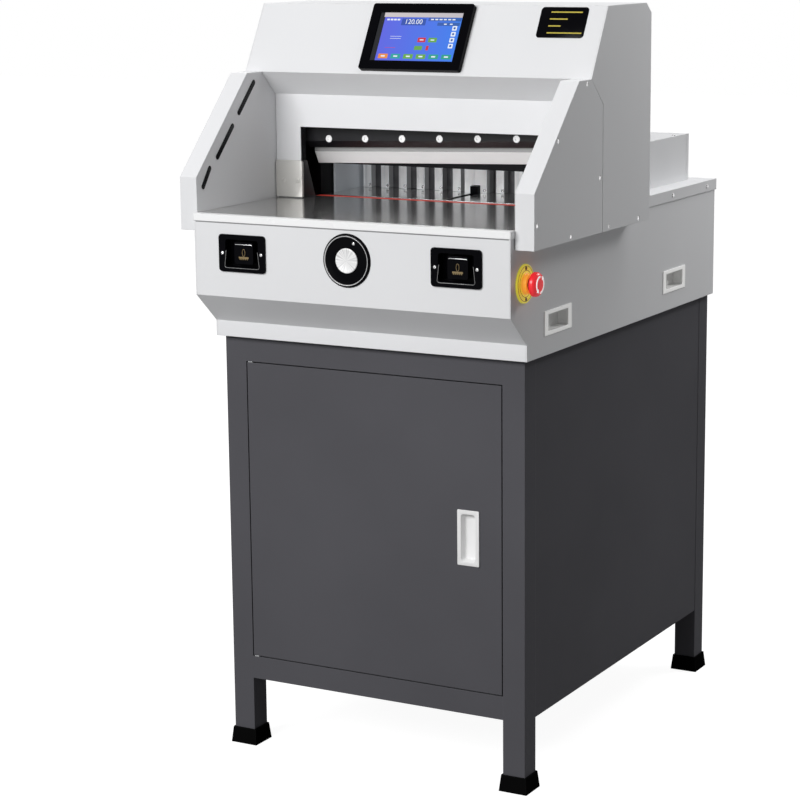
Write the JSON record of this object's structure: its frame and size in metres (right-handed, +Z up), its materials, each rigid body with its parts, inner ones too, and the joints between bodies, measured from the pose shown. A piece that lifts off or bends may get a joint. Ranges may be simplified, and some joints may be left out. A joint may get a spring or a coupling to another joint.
{
  "type": "electric paper cutter",
  "caption": "Electric guillotine paper cutter on a cabinet stand, with a touch screen, side guards, a clamp, a motor-driven knife and a back gauge.",
  "frame": {"origin": "on the floor, under the middle of the machine's box", "axes": "+Z up, +X to the operator's right, +Y away from the operator, so the front faces -Y"},
  "size_m": [0.656, 0.8626, 1.2778],
  "materials": {
    "dark_paint": "textured matt",
    "light_paint": "satin",
    "black_rubber": "matt",
    "zinc_steel": "satin",
    "bright_steel": "polished",
    "black_steel": "satin",
    "cast_frame": "painted",
    "motor_paint": "satin",
    "bronze": "satin",
    "aluminium": "satin",
    "black_plastic": "satin",
    "grey_plastic": "satin",
    "red_plastic": "gloss",
    "yellow_plastic": "gloss",
    "button_plastic": "satin",
    "dark_window": "gloss",
    "screen_glass": "gloss"
  },
  "bodies": {
    "machine": {"stand_frame": "dark_paint", "rubber_feet": "black_rubber", "stand_panels": "dark_paint", "door_hinge_pins": "zinc_steel", "door_catch": "black_plastic", "base_tray": "zinc_steel", "base_front_panel": "light_paint", "base_left_panel": "light_paint", "base_right_panel": "light_paint", "handle_cups": "grey_plastic", "table_trim": "light_paint", "work_table": "bright_steel", "cutting_stick": "red_plastic", "left_guard": "light_paint", "right_guard": "light_paint", "light_curtains": "dark_window", "head_front_panel": "light_paint", "recess_plate": "light_paint", "head_left_panel": "light_paint", "head_right_panel": "light_paint", "head_top_cover": "light_paint", "rear_table_cover": "light_paint", "rear_hood": "light_paint", "screen_bezel": "black_plastic", "screen_display": "screen_glass", "side_lays": "bright_steel", "rear_side_guides": "bright_steel", "side_cheeks": "cast_frame", "cross_beam": "cast_frame", "knife_guides": "cast_frame", "clamp_belt": "black_rubber", "clamp_motor": "motor_paint", "gauge_rails": "bright_steel", "gauge_motor": "motor_paint", "gear_motor": "motor_paint", "control_box": "black_plastic", "button_boxes": "black_plastic", "hand_wheel_bezel": "black_plastic", "stop_collar": "yellow_plastic"},
    "door": {"cabinet_door": "dark_paint", "door_handle": "grey_plastic"},
    "left_button": {"left_cut_button": "button_plastic"},
    "right_button": {"right_cut_button": "button_plastic"},
    "wheel": {"hand_wheel_dial": "black_plastic", "hand_wheel_hub": "aluminium"},
    "stop_stem": {"stop_plunger": "black_plastic"},
    "stop_head": {"stop_button": "red_plastic"},
    "knife_block": {"knife_slide_block": "bronze"},
    "knife": {"knife_carrier": "black_steel", "knife_blade": "bright_steel", "knife_bolts": "zinc_steel"},
    "rod": {"pull_rod": "black_steel"},
    "crank": {"crank_disc": "black_steel"},
    "clamp": {"clamp_beam": "black_steel", "clamp_spindles": "bright_steel"},
    "left_pulley": {"clamp_pulley_left": "aluminium"},
    "right_pulley": {"clamp_pulley_right": "aluminium"},
    "gauge": {"back_gauge": "aluminium", "gauge_carriage": "black_plastic"},
    "screw": {"gauge_screw": "bright_steel"}
  },
  "joints": [
    {"name": "door_swing", "type": "hinge", "parent": "machine", "child": "door", "pos_m": [-0.235, -0.34625, 0.423], "axis": [0, 0, -1], "range_deg": [0, 110]},
    {"name": "left_button_press", "type": "slide", "parent": "machine", "child": "left_button", "axis": [0, 1, 0], "range_m": [0, 0.004], "stiffness_N_per_m": 500, "springref_m": -0.001},
    {"name": "right_button_press", "type": "slide", "parent": "machine", "child": "right_button", "axis": [0, 1, 0], "range_m": [0, 0.004], "stiffness_N_per_m": 500, "springref_m": -0.001},
    {"name": "hand_wheel_turn", "type": "hinge", "parent": "machine", "child": "wheel", "pos_m": [0, -0.42625, 0.879], "axis": [0, 1, 0], "continuous": true},
    {"name": "stop_press", "type": "slide", "parent": "machine", "child": "stop_stem", "axis": [-1, 0, 0], "range_m": [0, 0.004]},
    {"name": "stop_twist", "type": "hinge", "parent": "stop_stem", "child": "stop_head", "pos_m": [0.312, -0.37325, 0.854], "axis": [-1, 0, 0], "range_deg": [0, 45], "stiffness_Nm_per_rad": 0.05, "springref_deg": -5.73},
    {"name": "knife_cut", "type": "slide", "parent": "machine", "child": "knife_block", "axis": [-0.233, 0, -0.9725], "range_m": [0, 0.06008]},
    {"name": "knife_swing", "type": "hinge", "parent": "knife_block", "child": "knife", "pos_m": [-0.19, -0.09625, 1.14563], "axis": [0, 1, 0], "range_deg": [0, 1.81]},
    {"name": "rod_swing", "type": "hinge", "parent": "knife", "child": "rod", "pos_m": [0.28144, -0.09725, 1.0754], "axis": [0, -1, 0], "range_deg": [0, 5.79]},
    {"name": "crank_turn", "type": "hinge", "parent": "machine", "child": "crank", "pos_m": [0.232, -0.08225, 0.8], "axis": [0, 1, 0], "range_deg": [0, 180.1]},
    {"name": "clamp_press", "type": "slide", "parent": "machine", "child": "clamp", "axis": [0, 0, -1], "range_m": [0, 0.0567]},
    {"name": "left_pulley_turn", "type": "hinge", "parent": "machine", "child": "left_pulley", "pos_m": [-0.11, -0.09625, 1.196], "axis": [0, 0, 1], "range_deg": [0, 2552]},
    {"name": "right_pulley_turn", "type": "hinge", "parent": "machine", "child": "right_pulley", "pos_m": [0.11, -0.09625, 1.196], "axis": [0, 0, 1], "range_deg": [0, 2552]},
    {"name": "gauge_travel", "type": "slide", "parent": "machine", "child": "gauge", "axis": [0, 1, 0], "range_m": [-0.11, 0.319]},
    {"name": "screw_turn", "type": "hinge", "parent": "machine", "child": "screw", "pos_m": [0, 0.12875, 0.8996], "axis": [0, 1, 0], "range_deg": [-3961, 11485]}
  ],
  "couplings": [
    {"joint": "knife_swing", "follows": "knife_cut", "rad_per_m": 0.52287},
    {"joint": "rod_swing", "follows": "knife_cut", "rad_per_m": 1.6681},
    {"joint": "crank_turn", "follows": "knife_cut", "rad_per_m": 52.288},
    {"joint": "left_pulley_turn", "follows": "clamp_press", "rad_per_m": 785.4},
    {"joint": "right_pulley_turn", "follows": "clamp_press", "rad_per_m": 785.4},
    {"joint": "screw_turn", "follows": "gauge_travel", "rad_per_m": 628.32}
  ]
}
